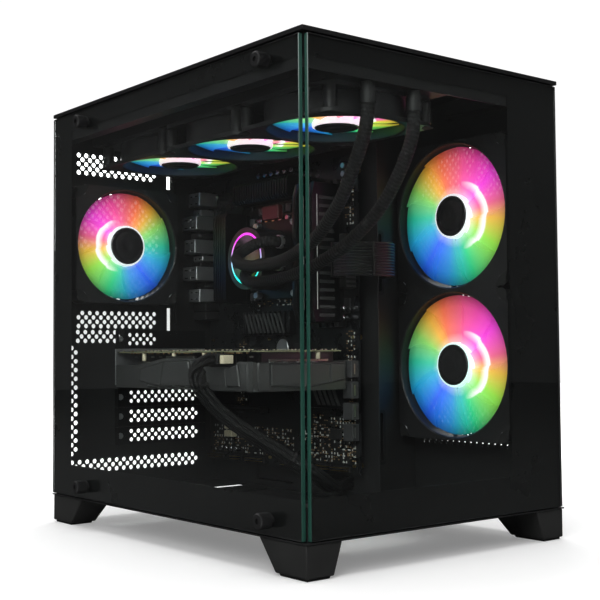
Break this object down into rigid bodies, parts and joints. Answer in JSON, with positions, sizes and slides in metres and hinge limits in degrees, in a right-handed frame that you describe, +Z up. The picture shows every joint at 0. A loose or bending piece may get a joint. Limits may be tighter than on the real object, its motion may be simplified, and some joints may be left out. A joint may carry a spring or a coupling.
{
  "type": "desktop computer tower",
  "caption": "Desktop computer tower with glass side and front, radiator and case fans, pump, motherboard, graphics card and power supply inside a black steel case.",
  "frame": {"origin": "centre of the bounding box, on the plane that the foot pads rest on", "axes": "+X towards the right side panel (the glass side is -X), +Y towards the rear wall, +Z up"},
  "size_m": [0.309, 0.412, 0.412],
  "materials": {
    "case_steel": "fine matt black powder coat on steel sheet",
    "black_plastic": "moulded black ABS, fine grain",
    "grey_plastic": "moulded dark grey plastic, fine grain",
    "pad_rubber": "soft black rubber",
    "filter_mesh": "woven black dust mesh in a plastic frame",
    "panel_glass": "clear tempered glass with a lightly smoked tint and a black printed border",
    "screw_metal": "black anodised knurled thumbscrew",
    "circuit_board": "matt black solder mask",
    "gpu_circuit_board": "dark solder mask with a pale green edge",
    "brass_metal": "turned brass",
    "port_metal": "plated steel port shells",
    "heatsink_metal": "dark anodised aluminium",
    "bare_aluminium": "bare aluminium fins",
    "plated_steel": "nickel plated steel",
    "slot_plastic": "black nylon",
    "radiator_metal": "black painted aluminium",
    "pump_plastic": "gloss black cap",
    "sleeve": "black braided nylon sleeve",
    "rotor_plastic": "milky translucent blades lit in rainbow colours",
    "drive_metal": "anodised aluminium drive housing"
  },
  "bodies": {
    "chassis": {"chassis_floor": "case_steel", "rear_wall": "case_steel", "top_frame": "case_steel", "motherboard_tray": "case_steel", "fan_bracket": "case_steel", "front_post": "case_steel", "feet": "grey_plastic", "foot_pads": "pad_rubber", "port_strip": "black_plastic", "motherboard": "circuit_board", "rear_ports": "port_metal", "vrm_heatsinks": "heatsink_metal", "board_heatsinks": "heatsink_metal", "processor": "plated_steel", "board_slots": "slot_plastic", "memory_sticks": "heatsink_metal", "standoffs": "brass_metal", "pump_bracket": "plated_steel", "pump": "pump_plastic", "tube_1": "sleeve", "tube_2": "sleeve", "radiator": "radiator_metal", "gpu_board": "gpu_circuit_board", "gpu_heatsink": "bare_aluminium", "gpu_shroud": "grey_plastic", "gpu_bracket": "plated_steel", "slot_covers": "case_steel", "psu_case": "case_steel", "board_power_cable": "sleeve", "gpu_power_cable": "sleeve", "top_fan_1": "black_plastic", "top_fan_2": "black_plastic", "top_fan_3": "black_plastic", "rear_fan": "black_plastic", "side_fan_1": "black_plastic", "side_fan_2": "black_plastic"},
    "top_filter": {"top_filter": "filter_mesh"},
    "bottom_filter": {"bottom_filter": "filter_mesh"},
    "side_glass": {"side_glass": "panel_glass"},
    "glass_thumbscrews": {"glass_thumbscrews": "screw_metal", "glass_screw_shanks": "plated_steel"},
    "front_glass": {"front_glass": "panel_glass"},
    "right_panel": {"right_panel": "case_steel"},
    "panel_thumbscrews": {"panel_thumbscrews": "screw_metal", "panel_screw_shanks": "plated_steel"},
    "power_button": {"power_button": "grey_plastic"},
    "reset_button": {"reset_button": "grey_plastic"},
    "gpu_fan_1": {"gpu_fan_1": "black_plastic"},
    "gpu_fan_2": {"gpu_fan_2": "black_plastic"},
    "psu_fan": {"psu_fan": "black_plastic"},
    "psu_switch": {"psu_switch": "black_plastic"},
    "top_rotor_1": {"top_rotor_1": "rotor_plastic"},
    "top_rotor_2": {"top_rotor_2": "rotor_plastic"},
    "top_rotor_3": {"top_rotor_3": "rotor_plastic"},
    "rear_rotor": {"rear_rotor": "rotor_plastic"},
    "side_rotor_1": {"side_rotor_1": "rotor_plastic"},
    "side_rotor_2": {"side_rotor_2": "rotor_plastic"},
    "drive_tray": {"drive": "drive_metal", "drive_caddy": "black_plastic"}
  },
  "joints": [
    {"name": "top_rotor_1_spin", "type": "hinge", "parent": "chassis", "child": "top_rotor_1", "pos_m": [-0.0415, -0.1255, 0.3665], "axis": [0, 0, 1], "continuous": true},
    {"name": "top_rotor_2_spin", "type": "hinge", "parent": "chassis", "child": "top_rotor_2", "pos_m": [-0.0415, -0.0055, 0.3665], "axis": [0, 0, 1], "continuous": true},
    {"name": "top_rotor_3_spin", "type": "hinge", "parent": "chassis", "child": "top_rotor_3", "pos_m": [-0.0415, 0.1145, 0.3665], "axis": [0, 0, 1], "continuous": true},
    {"name": "rear_rotor_spin", "type": "hinge", "parent": "chassis", "child": "rear_rotor", "pos_m": [-0.0675, 0.1828, 0.28], "axis": [0, 1, 0], "continuous": true},
    {"name": "side_rotor_1_spin", "type": "hinge", "parent": "chassis", "child": "side_rotor_1", "pos_m": [0.1175, -0.113, 0.1552], "axis": [1, 0, 0], "continuous": true},
    {"name": "side_rotor_2_spin", "type": "hinge", "parent": "chassis", "child": "side_rotor_2", "pos_m": [0.1175, -0.113, 0.2952], "axis": [1, 0, 0], "continuous": true},
    {"name": "gpu_fan_1_spin", "type": "hinge", "parent": "chassis", "child": "gpu_fan_1", "pos_m": [-0.0155, 0.0194, 0.138], "axis": [0, 0, 1], "continuous": true},
    {"name": "gpu_fan_2_spin", "type": "hinge", "parent": "chassis", "child": "gpu_fan_2", "pos_m": [-0.0155, 0.1314, 0.138], "axis": [0, 0, 1], "continuous": true},
    {"name": "psu_fan_spin", "type": "hinge", "parent": "chassis", "child": "psu_fan", "pos_m": [0.1325, 0.1198, 0.1102], "axis": [1, 0, 0], "continuous": true},
    {"name": "side_glass_slide", "type": "slide", "parent": "chassis", "child": "side_glass", "axis": [-1, 0, 0], "range_m": [0, 0.06]},
    {"name": "glass_thumbscrews_slide", "type": "slide", "parent": "side_glass", "child": "glass_thumbscrews", "axis": [-1, 0, 0], "range_m": [0, 0.013]},
    {"name": "front_glass_slide", "type": "slide", "parent": "chassis", "child": "front_glass", "axis": [0, -1, 0], "range_m": [0, 0.06]},
    {"name": "right_panel_slide", "type": "slide", "parent": "chassis", "child": "right_panel", "axis": [0, 1, 0], "range_m": [0, 0.02]},
    {"name": "panel_thumbscrews_slide", "type": "slide", "parent": "right_panel", "child": "panel_thumbscrews", "axis": [0, 1, 0], "range_m": [0, 0.006]},
    {"name": "top_filter_slide", "type": "slide", "parent": "chassis", "child": "top_filter", "axis": [0, 0, 1], "range_m": [0, 0.03]},
    {"name": "bottom_filter_slide", "type": "slide", "parent": "chassis", "child": "bottom_filter", "axis": [0, -1, 0], "range_m": [0, 0.25]},
    {"name": "power_button_press", "type": "slide", "parent": "chassis", "child": "power_button", "axis": [0, 0, -1], "range_m": [0, 0.0015], "stiffness_N_per_m": 400},
    {"name": "reset_button_press", "type": "slide", "parent": "chassis", "child": "reset_button", "axis": [0, 0, -1], "range_m": [0, 0.0015], "stiffness_N_per_m": 300},
    {"name": "psu_switch_rock", "type": "hinge", "parent": "chassis", "child": "psu_switch", "pos_m": [0.107, 0.1938, 0.1532], "axis": [0, 0, 1], "range_deg": [-12, 0]},
    {"name": "drive_tray_lift", "type": "slide", "parent": "chassis", "child": "drive_tray", "axis": [0, 0, 1], "range_m": [0, 0.025]}
  ]
}
